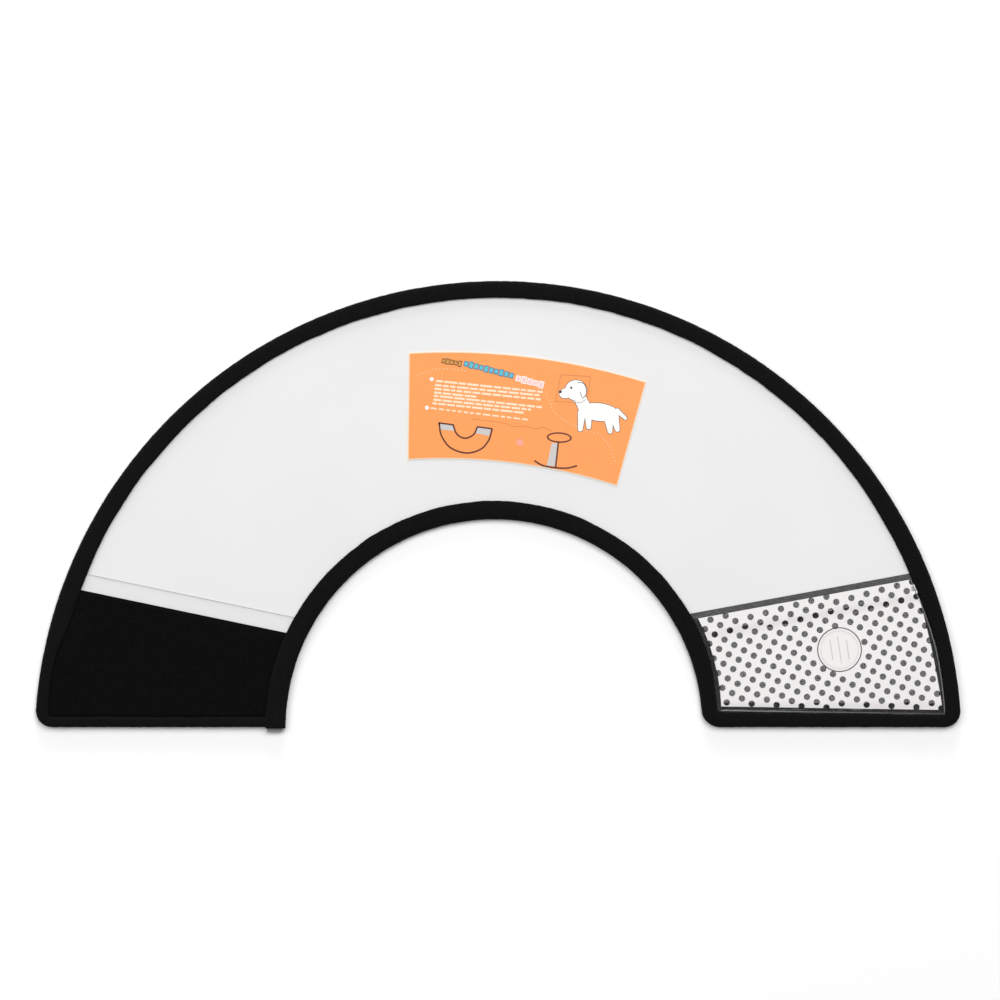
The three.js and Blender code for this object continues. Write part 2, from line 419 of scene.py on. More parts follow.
def clear_material(name, shade, alpha):
    """Thin clear film or the clear corner of the sheet, a little cloudy."""
    material, shader = new_material(name, grey(shade), 0.2, Alpha=alpha)
    tint(material, shader, noise(material, 3, 2), [(0.3, grey(shade * 0.93)), (0.7, grey(shade))])
    return material


def hook_material():
    """Black moulded plastic with a faint uneven gloss."""
    material, shader = new_material("hook_plastic", grey(0.008), 0.4, Specular_IOR_Level=0.2)
    tint(material, shader, noise(material, 1.2, 3), [(0.35, grey(0.006)), (0.75, grey(0.016))])
    bump(material, shader, noise(material, 0.8, 3), 0.08)
    return material


def selvedge_material():
    """The hook tape's plain woven edge, dark grey, with threads along it."""
    material, shader = new_material("hook_selvedge", grey(0.06), 0.6, Sheen_Weight=0.1)
    threads = noise(material, 0.7, 3, (0.3, 1, 1))
    tint(material, shader, threads, [(0.3, grey(0.036)), (0.5, grey(0.055)), (0.75, grey(0.085))])
    bump(material, shader, threads, 0.15)
    return material


def film_material():
    """Clear glossy film."""
    return new_material("clear_film", grey(1.0), 0.04, Transmission_Weight=1.0, IOR=1.4)[0]


def printed(name, colour, roughness=0.35, spread=0.04, grain_mm=1.5):
    """Ink or coated card: an even colour with a faint mottle."""
    material, shader = new_material(name, colour, roughness)
    dark = tuple(c * (1 - spread) for c in colour)
    tint(material, shader, noise(material, grain_mm, 3), [(0.35, dark), (0.65, colour)])
    return material


MATERIALS = {
    "sheet": sheet_material(),
    "fleece": pile_material("fleece_tape", 0.0035, 0.009, 0.9, 0.03),
    "loop": pile_material("loop_pile", 0.0015, 0.006, 0.6, 0.015),
    "strip": clear_material("clear_strip", 0.8, 0.05),
    "strip_edge": clear_material("strip_edge", 0.58, 0.8),
    "tab": clear_material("clear_tab", 0.35, 0.75),
    "hook": hook_material(),
    "selvedge": selvedge_material(),
    "film": film_material(),
    # painted highlight: a pale line that stands in for the glare along the film's edge
    "film_edge": clear_material("film_edge", 0.3, 0.5),
    "field": printed("print_field", (0.76, 0.735, 0.735), 0.2, 0.015, 6),
    "card": printed("card_orange", (0.91, 0.315, 0.082), 0.42, 0.03, 8),
    "card_edge": printed("card_stock", (0.92, 0.70, 0.50), 0.5),
}
INKS = {
    "white": (0.9, 0.88, 0.86),
    "pale": (0.93, 0.72, 0.52),
    "brown": (0.10, 0.018, 0.008),
    "faint": (0.55, 0.16, 0.06),
    "dark": (0.06, 0.045, 0.045),
    "yellow": (0.60, 0.30, 0.05),
    "cyan": (0.10, 0.50, 0.62),
    "blue": (0.02, 0.16, 0.30),
    "pink": (0.93, 0.55, 0.55),
    "rose": (0.93, 0.35, 0.27),
    "grey": (0.56, 0.54, 0.53),
}
MATERIALS.update({name: printed(f"ink_{name}", colour) for name, colour in INKS.items()})


# ---- Folded fleece tape ----

def tape_profile():
    """The folded tape's closed section as (share from the edge to the leaf's edge, height)."""
    mid = TOP / 2
    outside = [(1.0, TOP - 1.35), (1.0, TOP - 0.75), (0.97, TOP - 0.25), (0.9, TOP - 0.05), (0.7, TOP)]
    outside += [(0.5, TOP), (0.3, TOP - 0.03), (0.18, TOP - 0.2), (0.09, TOP - 0.6), (0.03, TOP - 1.3)]
    outside += [(0.0, mid)]
    under = [(f, TOP - z) for f, z in outside[:-1]][::-1]
    inside = [(0.8, 1.55), (0.5, 1.5), (0.25, 1.55), (0.17, mid)]
    inside += [(f, TOP - z) for f, z in inside[:-1]][::-1]
    return np.array(outside + under + inside)


PROFILE = tape_profile()
OUTER_POINTS = 21  # how many of its points lie on the visible outside
STEP = 1.3  # between stations along the tape
TAPE_SWAY = ((9.0, 3, 0.22), (3.0, 4, 0.1))  # noises that make its leaves' edge wander
TAPE_TUFTS = ((2.2, 5, 0.10), (0.9, 6, 0.05))  # and its face uneven
TUFT_START = 0.6  # height above which the tufts reach their full size


def tape_rows(edge, leaf, lift=None):
    """The tape's rows from matching points on its folded edge and its leaves' edge."""
    f, z = PROFILE[:, 0], PROFILE[:, 1]
    leaf = leaf + unit(leaf - edge) * waves(leaf, TAPE_SWAY)[:, None]
    plan = edge[:, None] * (1 - f)[None, :, None] + leaf[:, None] * f[None, :, None]
    rows = np.concatenate([plan, np.broadcast_to(z, plan.shape[:2])[..., None]], -1)
    normal = np.gradient(rows, axis=1)
    out = np.cross(np.gradient(rows, axis=0), normal)
    out /= np.linalg.norm(out, axis=2)[..., None] + 1e-9
    flat = np.clip(rows[..., 2] / TUFT_START, 0, 1)
    shown = np.zeros(len(f))
    shown[1:OUTER_POINTS - 1] = 1
    rows = rows + out * (waves(rows, TAPE_TUFTS) * shown[None] * flat)[..., None]
    if lift is not None:
        rows[..., 2] += lift[:, None] * (rows[..., 2] > TOP / 2)
    return rows


END_COUNTS = (60, 13, 90, 13, 30)  # points in each run of an end's outline


def outline_run(rim, neck, low, rim_corner, neck_corner):
    """Right-hand outline from the last fold's ray on the rim, round the end, to that ray on the neck edge."""
    start = middle_of(1 - FOLDS)
    y = low + rim_corner
    x = rim[0] + math.sqrt((rim[2] - rim_corner) ** 2 - (y - rim[1]) ** 2)
    touch = math.atan2(y - rim[1], x - rim[0])
    y2 = low + neck_corner
    x2 = neck[0] + math.sqrt((neck[2] + neck_corner) ** 2 - (y2 - neck[1]) ** 2)
    touch2 = math.atan2(y2 - neck[1], x2 - neck[0])
    return [
        arc(rim, hit(rim, start), touch, END_COUNTS[0]),
        arc((x, y, rim_corner), touch, -math.pi / 2, END_COUNTS[1])[1:],
        np.linspace((x, low), (x2, low), END_COUNTS[2])[1:],
        arc((x2, y2, neck_corner), 1.5 * math.pi, math.pi + touch2, END_COUNTS[3])[1:],
        arc(neck, touch2, hit(neck, start), END_COUNTS[4])[1:],
    ]


def end_outlines(side):
    """The tape's edge and leaf points round an end, in five runs each, for side 1 or -1."""
    lines = []
    for rim, neck, *rest in ((RIM, NECK, END_Y, RIM_CORNER, NECK_CORNER),
                             (RIM_LEAF, NECK_LEAF, END_LINE, LEAF_CORNER, LEAF_CORNER)):
        circles = [(x * side, y, r) for x, y, r in (rim, neck)]
        lines.append([run * np.array([side, 1]) for run in outline_run(*circles, *rest)])
    return lines


def fold_angles(k):
    """Polar angles where the piece that bends at fold k starts, near the centre, and ends."""
    side = 1 if k > 0 else -1
    return middle_of(k - side), middle_of(k)


def blend_at(obj):
    """Bakes obj's transform into its mesh."""
    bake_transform(obj)


def finish_piece(piece):
    """Bakes the piece's transform into its mesh."""
    blend_at(piece)


NAP_PER_MM2 = 0.9
NAP_LENGTH = 0.7
NAP_REACH = (0.55, 1.2)  # the shortest and longest fibre, as shares of that length
NAP_LEAN = 0.55  # how much the fibres lean about
NAP_FOOT = 0.07  # a fibre's half width at its foot
NAP_ROOT = 0.1  # how deep its foot stands in the cloth
NAP_LOWEST = 0.02  # no tip goes below this height
RIM_EASE, NECK_EASE = 2.8, 1.4  # how much narrower the leaves are at the right end
RIGHT_LOW = (1.0, -1.0)  # how far the lower leaf moves up, at the neck and at the rim
LEFT_EASE = 4.2  # how much narrower they are at the left end, where the pile crowds them
LEFT_LOW = (-2.0, -2.0)
RIGHT_TURN = (24, 14)  # where the leaves start to narrow, and over how far, in degrees
LEFT_TURN = (17, 9)
CUT_LIFT = 0.45  # how far the cut end of the neck binding stands up
CUT_RISE = (-2, 1.5)  # a ramp along that binding, which lifts it where it is above 0
CUT_COUNT = 60  # its stations
rng = np.random.default_rng(SEED)


def scattered(surfaces, density):
    """Random places on grids of points, and the surface's normal at each."""
    bases, normals = [], []
    for rows in surfaces:
        a, b, c, d = rows[:-1, :-1], rows[1:, :-1], rows[1:, 1:], rows[:-1, 1:]
        cross = np.cross(c - a, d - b)
        area = np.linalg.norm(cross, axis=-1) / 2
        share = area.ravel() / area.sum()
        count = int(area.sum() * density)
        cell = rng.choice(share.size, count, p=share)
        s, t = rng.random((2, count, 1))
        weights = (1 - s) * (1 - t), s * (1 - t), s * t, (1 - s) * t
        corners = [q.reshape(-1, 3)[cell] for q in (a, b, c, d)]
        bases.append(sum(corner * weight for corner, weight in zip(corners, weights)))
        normals.append((cross / (2 * area[..., None] + 1e-12)).reshape(-1, 3)[cell])
    return np.concatenate(bases), np.concatenate(normals)


def nap(name, surfaces, density, length, material):
    """Short tapered fibres standing on the visible side of napped surfaces, each a small closed spike."""
    base, normal = scattered(surfaces, density)
    count = len(base)
    direction = unit(normal + rng.normal(0, NAP_LEAN, (count, 3)))
    reach = length * rng.uniform(*NAP_REACH, (count, 1))
    side = unit(np.cross(direction, rng.normal(size=(count, 3))))
    other = np.cross(direction, side)
    angles = 2 * math.pi * np.arange(3) / 3
    feet = [base - normal * NAP_ROOT + NAP_FOOT * (side * math.cos(t) + other * math.sin(t)) for t in angles]
    tip = base + direction * reach
    tip[:, 2] = np.maximum(tip[:, 2], NAP_LOWEST)
    points = np.stack([*feet, tip], 1).reshape(-1, 3)
    first = np.arange(count)[:, None] * 4
    faces = np.concatenate([first + np.array(f) for f in ((0, 1, 3), (1, 2, 3), (2, 0, 3), (2, 1, 0))])
    return add_mesh(name, points, faces, [material], smooth=False)


def facing(rows, way):
    """A grid of points, turned so that its faces point up for way 1 or down for -1."""
    a, b, c = rows[0, 5], rows[1, 5], rows[0, 6]
    return rows if np.cross(b - a, c - a)[2] * way > 0 else rows[:, ::-1]


def napped_side(rows):
    """The visible side of a tape's rows, its faces turned out of the tape."""
    return facing(rows[:, :OUTER_POINTS], 1)


def build_tape():
    for step in range(1, FOLDS):
        for k in (step, -step):
            build_tape_piece(k)
    build_right_end()
    build_left_end()


def build_tape_piece(k):
    """The rim and neck bindings round fold k, with their nap."""
    start, end = fold_angles(k)
    count = int(abs(end - start) * RIM[2] / STEP)
    shells, surfaces, folds = [], [], []
    for part, edge, leaf, n in (("rim", RIM, RIM_LEAF, count), ("neck", NECK, NECK_LEAF, count // 2)):
        a, b = (arc(c, hit(c, start), hit(c, end), n) for c in (edge, leaf))
        if k == 1 - FOLDS:
            b = right_leaf(b)
        rows = tape_rows(a, b)
        shell = tube(f"{part}_fleece_{body_name(k)}", rows, "fleece")
        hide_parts(f"{part}_binding_{body_name(k)}")
        if k == 1:
            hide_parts(f"{part}_binding_center")
        shells.append(shell)
        surfaces.append(napped_side(rows))
        folds.append((a, b))
    finish_tape(k, shells, surfaces)


def finish_tape(k, shells, surfaces):
    fuzz = nap(f"fleece_nap_{body_name(k)}", surfaces, NAP_PER_MM2, NAP_LENGTH, "fleece")
    for piece in (*shells, fuzz):
        finish_piece(piece)


def end_share(plan, turn):
    """From 0 where the leaves start to narrow to 1 near the end."""
    angle = np.degrees(np.arctan2(plan[..., 1], np.abs(plan[..., 0])))
    return smooth_step((turn[0] - angle) / turn[1])


def ease_leaf(leaf, share, rim_ease, neck_ease, low):
    """Moves the leaf's edge out a little at an end, where the panel crowds the tape."""
    across = np.clip((distance(leaf) - NECK_LEAF[2]) / (RIM_LEAF[2] - NECK_LEAF[2]), 0, 1)
    shift = (rim_ease + neck_ease) * across - neck_ease
    leaf = moved_out(leaf, shift * share)
    rise = low[0] * (1 - across) + low[1] * across
    leaf[:, 1] += rise * smooth_step(END_LINE + LEAF_CORNER - leaf[:, 1])
    return leaf


def right_leaf(leaf):
    return ease_leaf(leaf, end_share(leaf, RIGHT_TURN), RIM_EASE, NECK_EASE, RIGHT_LOW)


def left_leaf(leaf):
    return ease_leaf(leaf, end_share(leaf, LEFT_TURN), LEFT_EASE, 0.0, LEFT_LOW)


def build_right_end():
    edge, leaf = end_outlines(1)
    edge, leaf = np.concatenate(edge), right_leaf(np.concatenate(leaf))
    rows = tape_rows(edge, leaf)
    shell = tube("end_fleece_right", rows, "fleece")
    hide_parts("end_binding_right")
    finish_tape(-FOLDS, [shell], [napped_side(rows)])


def extended(line, x):
    """A line with a straight run added from its last point to a place x at the same height."""
    more = np.linspace(line[-1], (x, line[-1][1]), 8)[1:]
    return np.vstack([line, more])


def build_left_end():
    edge, leaf = (extended(np.concatenate(run[:3]), LEFT_END_X) for run in end_outlines(-1))
    leaf = left_leaf(leaf)
    rows = tape_rows(edge, leaf)
    shell = tube("end_fleece_left", rows, "fleece")
    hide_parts("end_binding_left")
    start = middle_of(FOLDS - 1)
    runs = [arc(c, hit(c, start), at_height(c, CUT_Y, -1), CUT_COUNT) for c in (NECK, NECK_LEAF)]
    lift = CUT_LIFT * np.clip(np.linspace(*CUT_RISE, CUT_COUNT), 0, 1)
    neck_rows = tape_rows(*runs, lift=lift)
    neck = tube("end_fleece_left_neck", neck_rows, "fleece")
    finish_tape(FOLDS, [shell, neck], [napped_side(rows), napped_side(neck_rows)])


# ---- Plastic sheet ----

SHEET_COUNTS = (28, 40, 22)  # stations of a piece, of the last piece, and points across


def build_sheet():
    circles = grown(NECK, SHEET_INSET), grown(RIM, -SHEET_INSET)
    for k in (side * step for side in (1, -1) for step in range(1, FOLDS + 1)):
        start, end = fold_angles(k)
        at_end = abs(k) == FOLDS
        lines = []
        for circle in circles:
            last = at_height(circle, END_Y + SHEET_INSET, -k) if at_end else hit(circle, end)
            lines.append(arc(circle, hit(circle, start), last, SHEET_COUNTS[at_end]))
        body = slab_body(*lines, SHEET_COUNTS[2], SHEET_LOW, SHEET_HIGH)
        piece = add_mesh(f"frosted_sheet_{body_name(k)}", *body, ["sheet"])
        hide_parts(f"sheet_{body_name(k)}")
        if k == 1:
            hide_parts("sheet_center")
        finish_piece(piece)


TAB = ((-127.2, 2.8), (-119.7, 2.8), (-119.0, 3.7), (-119.0, 10.5), (-127.2, 10.5))


def build_tab():
    """The clear corner of the sheet that shows past the cut end of the neck binding."""
    body = prism_body(*fill(TAB), SHEET_LOW, SHEET_HIGH)
    tab = add_mesh("sheet_corner_tab", *body, ["tab"])
    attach(tab, body_name(FOLDS))


# ---- End panels: loop, strip, hooks, film and its print ----

TUCK = 1.0  # how far panels and film reach under the binding's leaves
FRONT = SHEET_HIGH + 0.05  # where pieces on the front of the sheet start
BACK = SHEET_LOW - 0.05  # where pieces on its back end
PANEL_RINGS = (grown(NECK_LEAF, -TUCK), grown(RIM_LEAF, TUCK))
LOOP_RINGS = (grown(NECK_LEAF, -TUCK), grown(RIM_LEAF, TUCK + LEFT_EASE))
HOOK_RINGS = (grown(NECK_LEAF, -TUCK - NECK_EASE), grown(RIM_LEAF, TUCK + RIM_EASE))
GRID_STEP = 1.5


def end_grids(line, side, circles, low):
    """An end panel's two pieces as (fold, inner polyline, outer polyline, points across)."""
    ray = middle_of(-side * (FOLDS - 1))
    stops = [(on_line(c, line, side), hit(c, ray), at_height(c, low, side)) for c in circles]
    across = int((circles[1][2] - circles[0][2]) / GRID_STEP)
    grids = []
    for part in (0, 1):
        count = int(abs(stops[1][part + 1] - stops[1][part]) * circles[1][2] / GRID_STEP) + 5
        lines = [arc(c, s[part], s[part + 1], count) for c, s in zip(circles, stops)]
        grids.append((-side * (FOLDS - 1 + part), *lines, across))
    return grids


def below(plan, line):
    """How far plan points lie below a line that runs from left to right."""
    a, along = along_line(line)
    return (plan - a) @ np.array([along[1], -along[0]])


def leaf_distance(plan, share=0.0, rim_ease=0.0, neck_ease=0.0, low_ease=0.0):
    """How far plan points lie inside the window between the binding's leaves."""
    rim = RIM_LEAF[2] - distance(plan, RIM_LEAF)
    neck = distance(plan, NECK_LEAF) - NECK_LEAF[2]
    low = plan[..., 1] - END_LINE
    return np.minimum.reduce([rim + rim_ease * share, neck + neck_ease * share, low + low_ease])


LOOP_HEIGHT = 1.3
LOOP_EDGE_HEIGHT = 0.25  # of the pile where it is pressed down
LOOP_RISE = LOOP_HEIGHT - LOOP_EDGE_HEIGHT - 0.1
LOOP_SLOPE = 2.0  # width over which it rises
LOOP_START = 0.4  # how far outside its window that starts
LOOP_OVER = 0.6  # how far the window goes past the panel's upper line
LOOP_SWELL = ((14, 21, 0.10), (3.1, 22, 0.08), (1.3, 23, 0.09))
LOOP_NAP = 0.5
LOOP_PANELS = (  # name, the CAD's name, way up, base and fibres per square millimetre
    ("loop_pile_front", "loop_front", 1, FRONT, 1.0),
    ("loop_pile_back", "loop_back", -1, BACK, 0.5),
)


def pile_height(plan):
    """Height of the loop pile, pressed down under the tape and at its cut edge."""
    window = leaf_distance(plan, end_share(plan, LEFT_TURN), LEFT_EASE, 0.0, -LEFT_LOW[0])
    inside = np.minimum(window, below(plan, LOOP_TOP) + LOOP_OVER)
    edge = smooth_step((inside + LOOP_START) / LOOP_SLOPE)
    return LOOP_EDGE_HEIGHT + (LOOP_RISE + waves(plan, LOOP_SWELL)) * edge


def build_loop_panels():
    for panel in LOOP_PANELS:
        for grid in end_grids(LOOP_TOP, -1, LOOP_RINGS, END_LINE + LEFT_LOW[0] - TUCK):
            build_loop_piece(*panel, *grid)


def build_loop_piece(name, node, way, base, density, k, inner, outer, across):
    """A loop panel's piece at fold k, with its nap."""
    def skin(plan):
        return base + way * pile_height(plan)

    body = slab_body(inner, outer, across, *((base, skin) if way > 0 else (skin, base)))
    panel = add_mesh(f"{name}_{body_name(k)}", *body, ["loop"])
    rows = raised(plan_grid(inner, outer, across), skin)[1:-1, 1:-1]
    fuzz = nap(f"{name}_nap_{body_name(k)}", [facing(rows, way)], density, LOOP_NAP, "loop")
    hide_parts(f"{node}_{body_name(k)}")
    if k == FOLDS - 1 and way > 0:
        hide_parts(f"{node}_{body_name(k - 1)}")
    finish_piece(panel)
    finish_piece(fuzz)


STRIP_HIGH = FRONT + 0.2
STRIP_EDGE_HIGH = STRIP_HIGH + 0.05
STRIP_LINE = 0.35  # width of its cut edge


def line_ends(line, side, rings):
    """The points where a line meets two rings."""
    return np.array([on_circle(c, on_line(c, line, side)) for c in rings])


def band_body(top, bottom, stations, across, low, high):
    """A flat band between two straight lines, each given by its ends."""
    share = np.linspace(0, 1, stations)[:, None]
    inner, outer = (top[i] * (1 - share) + bottom[i] * share for i in (0, 1))
    return slab_body(inner, outer, across, low, high)


def build_strip():
    """The strip of clear film above the loop panel, its cut edge seen as a thin line."""
    top, bottom = (line_ends(line, -1, PANEL_RINGS) for line in (STRIP_TOP, LOOP_TOP))
    edge = top + unit(bottom - top) * STRIP_LINE
    strip = merged("clear_film_strip", [
        (*band_body(edge, bottom, 8, 60, FRONT, STRIP_HIGH), "strip"),
        (*band_body(top, edge, 2, 60, FRONT, STRIP_EDGE_HIGH), "strip_edge"),
    ])
    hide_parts("clear_strip_left_5", "clear_strip_left_6")
    finish_piece(strip)


HOOK_BASE = FRONT + 0.2
HOOK_TIP = FRONT + 0.75
HOOK_PITCH = 1.7
HOOK_FOOT, HOOK_HEAD = 0.42, 0.26  # half widths of a hook's foot and head
HOOK_MARGIN = 1.2  # from the hooks to the binding's leaves
HOOK_GRID = (np.arange(-5, 95), np.arange(60))  # hooks in a row and rows, more than the panel holds
BAND = 3.4  # width of the hook panel's plain upper edge
BAND_HIGH = HOOK_BASE + 0.2
HOOK_START = BAND + 1  # from the panel's upper edge to the first row of hooks
BAND_LINE = tuple((x, y - BAND) for x, y in HOOK_TOP)  # its lower side, where the film starts


def build_hook_panel():
    grids = end_grids(HOOK_TOP, 1, HOOK_RINGS, END_LINE - 2 * TUCK)
    for k, inner, outer, across in grids:
        body = slab_body(inner, outer, across, FRONT, HOOK_BASE)
        bodies = [(*body, "hook"), (*hooks(k), "hook")]
        if k == 1 - FOLDS:
            bodies.append((*selvedge_body(), "selvedge"))
        panel = merged(f"hook_tape_{body_name(k)}", bodies)
        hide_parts(f"hook_panel_{body_name(k)}")
        if k == 1 - FOLDS:
            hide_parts(f"hook_panel_{body_name(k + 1)}")
        finish_piece(panel)


def selvedge_body():
    top, bottom = (line_ends(line, 1, HOOK_RINGS) for line in (HOOK_TOP, BAND_LINE))
    return band_body(top, bottom, 4, 80, HOOK_BASE, BAND_HIGH)


def bends_at(points, k):
    """True for each point of the right end's panels that bends at fold k."""
    first = np.arctan2(points[:, 1], points[:, 0]) > middle_of(1 - FOLDS)
    return first if k == 1 - FOLDS else ~first


def hooks(k):
    """Rows of short tapered hooks below the plain edge, on the part of the panel that bends at fold k."""
    a, along = along_line(HOOK_TOP)
    down = np.array([along[1], -along[0]])
    i, j = np.meshgrid(*HOOK_GRID)
    across, lower = (i + 0.5 * (j % 2)) * HOOK_PITCH, HOOK_START + j * HOOK_PITCH
    place = (a + along * across[..., None] + down * lower[..., None]).reshape(-1, 2)
    place = place[(leaf_distance(place) > HOOK_MARGIN) & bends_at(place, k)]
    corners = np.array([(-1, -1), (1, -1), (1, 1), (-1, 1)])
    foot = raised(place[:, None] + corners * HOOK_FOOT, HOOK_BASE - 0.05)
    head = raised(place[:, None] + corners * HOOK_HEAD, HOOK_TIP)
    points = np.concatenate([foot, head], 1).reshape(-1, 3)
    box = [(3, 2, 1, 0), (4, 5, 6, 7), (0, 1, 5, 4), (1, 2, 6, 5), (2, 3, 7, 6), (3, 0, 4, 7)]
    faces = (np.arange(len(place))[:, None, None] * 8 + np.array(box)).reshape(-1, 4)
    return points, [tuple(f) for f in faces]


FILM_TOP = FRONT + 1.4
FILM_LEAF = 3.15  # the film's height at the leaves' edge
FILM_THICKNESS = 0.14
FILM_SLOPE = (0.6, 1.9)  # where it starts to rise outside the leaves, and over what width
FILM_RIPPLE = ((22, 31, 0.06), (7, 32, 0.012))
CREASE = 0.42  # depth of the crease
CREASE_FALL = (8, 4.5)  # where it starts below the film's upper edge, and its width
CREASE_RISE = (14, 40)
LOW_DIP = 0.35  # how far the film dips along its lower edge
LOW_SLOPE = (2, 4.5)  # where that starts above the leaves' edge, and its width


def film_distance(plan):
    """How far plan points lie inside the narrower leaves of the right end."""
    return leaf_distance(plan, end_share(plan, RIGHT_TURN), RIM_EASE, NECK_EASE)


def film_height(plan):
    """Top of the film: flat over the hooks, dished at its edges, with a crease below its upper edge."""
    edge = smooth_step((film_distance(plan) + FILM_SLOPE[0]) / FILM_SLOPE[1])
    top = below(plan, BAND_LINE)
    fall, rise = (smooth_step((top - start) / width) for start, width in (CREASE_FALL, CREASE_RISE))
    crease = -CREASE * fall + CREASE * rise
    lower = -LOW_DIP * smooth_step(1 - (plan[..., 1] - END_LINE - LOW_SLOPE[0]) / LOW_SLOPE[1])
    return FILM_LEAF + (FILM_TOP - FILM_LEAF + crease + lower + waves(plan, FILM_RIPPLE)) * edge


def build_film():
    for k, inner, outer, across in end_grids(BAND_LINE, 1, HOOK_RINGS, END_LINE - 2 * TUCK):
        body = slab_body(inner, outer, across, lambda plan: film_height(plan) - FILM_THICKNESS, film_height)
        # the pale line along the film's edge is a painted highlight
        bodies = [(*body, "film"), (*film_edge(k), "film_edge")]
        film = merged(f"clear_cover_{body_name(k)}", bodies)
        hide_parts(f"film_{body_name(k)}")
        if k == 1 - FOLDS:
            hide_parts(f"film_{body_name(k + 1)}")
        finish_piece(film)


HIGHLIGHT_GAP = 0.9  # from the leaves' edge to the painted highlight line along the film's edge
HIGHLIGHT_LINE = 0.5  # width of that painted highlight line
HIGHLIGHT_COUNTS = (60, 90)  # its points beside the rim and along the end
HIGHLIGHT_LIFT = 0.01


def film_edge(k):
    """A painted highlight along the film's edge: a thin pale line beside the binding on the rim side and
    below.
    """
    ends = on_line(RIM_LEAF, BAND_LINE, 1), at_height(RIM_LEAF, END_LINE + HIGHLIGHT_GAP, 1)
    side = arc(RIM_LEAF, *ends, HIGHLIGHT_COUNTS[0])
    shift = RIM_EASE * end_share(side, RIGHT_TURN) - HIGHLIGHT_GAP
    side = moved_out(side, shift)
    side[:, 1] += RIGHT_LOW[1] * smooth_step(END_LINE + HIGHLIGHT_GAP + LEAF_CORNER - side[:, 1])
    corner = (NECK_LEAF[0] + NECK_LEAF[2], END_LINE + RIGHT_LOW[0] + HIGHLIGHT_GAP)
    line = np.vstack([side, np.linspace(side[-1], corner, HIGHLIGHT_COUNTS[1])[1:]])
    split = int(bends_at(line, 1 - FOLDS).sum())
    part = line[:split + 1] if k == 1 - FOLDS else line[split:]
    return on_film(*fill(stroke(part, HIGHLIGHT_LINE)), HIGHLIGHT_LIFT)


FIELD_LEFT = circle_through((109.9, 65.6), (119.8, 38.6), (122.7, 17.0))  # the white field's sides
FIELD_RIGHT = circle_through((228.8, 86.8), (237.4, 53.4), (244.5, 15.1))
FIELD_LOW = ((122.7, 17.0), (244.5, 15.1))
DOT = 3.6  # diameter of the clear dots
DOT_AT = (160.9, 67.8)
DOT_STEPS = ((5.37, -2.92), (-2.98, -5.15))
DOT_MARGIN = 0.9  # from the field's upper edge to the centres of the first dots
RING = (187.8, 48.3, 12.3)  # a plain ring mark between the dots
RING_LINE = 0.55
RING_MARGIN = 0.4  # from the ring to the centres of the dots
RING_INNER = 1.8  # from the ring to the one inside it
RING_BARS = ((-4.5, 5.5), (0, 7.5), (4.5, 5.5))  # place across and half length
RING_SLANT = 0.15
PRINT_LIFT = 0.06  # of the print above the film
PRINT_THICKNESS = 0.05


def round_outline(circle, count=14):
    return on_circle(circle, np.linspace(0, 2 * math.pi, count, endpoint=False))


def field_outline():
    """The white field's outline: two curved sides between its upper and lower edges."""
    sides = []
    for circle in (FIELD_LEFT, FIELD_RIGHT):
        ends = [on_line(circle, line, 1) for line in (BAND_LINE, FIELD_LOW)]
        sides.append(arc(circle, *ends, 24))
    return np.concatenate([sides[0], sides[1][::-1]])


def dot_centres(outline):
    """Centres of the dots that touch the field, start below its upper edge and keep off the ring mark."""
    i, j = np.meshgrid(np.arange(-25, 26), np.arange(-25, 26))
    u, v = np.array(DOT_STEPS)
    places = (np.array(DOT_AT) + i[..., None] * u + j[..., None] * v).reshape(-1, 2)
    near = np.zeros(len(places), bool)
    for edge in round_outline((0, 0, DOT / 2), 8):
        near |= contains(outline, places + edge)
    off = distance(places, RING) > RING[2] + RING_MARGIN
    inside = (below(places, BAND_LINE) > DOT_MARGIN) & (below(places, FIELD_LOW) < 0)
    return places[near & off & inside]


def build_print():
    """White print on the film, with clear round dots, and the ring mark on top of it."""
    outline = field_outline()
    holes = [round_outline((x, y, DOT / 2)) for x, y in dot_centres(outline)]
    angle = middle_of(1 - FOLDS)
    ray = np.array([math.cos(angle), math.sin(angle)])
    spots = [p for r in (3, 6, 9) for p in round_outline((RING[0], RING[1], r), 8)]
    points, triangles = fill(outline, holes, [[ray * 100, ray * 260]], spots)
    centres = points[triangles].mean(1)
    for k in (1 - FOLDS, -FOLDS):
        bodies = [(*on_film(points, triangles[bends_at(centres, k)], PRINT_LIFT), "field")]
        if k == -FOLDS:
            bodies += ring_mark()
        finish_piece(merged(f"film_print_{body_name(k)}", bodies))


def on_film(points, triangles, lift):
    """A thin printed body that follows the film's surface."""
    return prism_body(points, triangles, lambda p: film_height(p) + lift,
                      lambda p: film_height(p) + lift + PRINT_THICKNESS)


def ring_mark():
    """A plain ring with an inner ring and three bars."""
    x, y, r = RING
    bodies = []
    for radius, width in ((r, RING_LINE), (r - RING_INNER, RING_LINE * 0.5)):
        shape = fill(round_outline((x, y, radius), 48), [round_outline((x, y, radius - width), 48)])
        bodies.append((*on_film(*shape, PRINT_LIFT * 2), "grey" if radius < r else "dark"))
    for offset, reach in RING_BARS:
        bar = stroke([(x + offset + RING_SLANT * t, y - t) for t in np.linspace(-reach, reach, 9)], RING_LINE)
        bodies.append((*on_film(*fill(bar), PRINT_LIFT * 2), "grey"))
    return bodies


# ---- Printed card ----

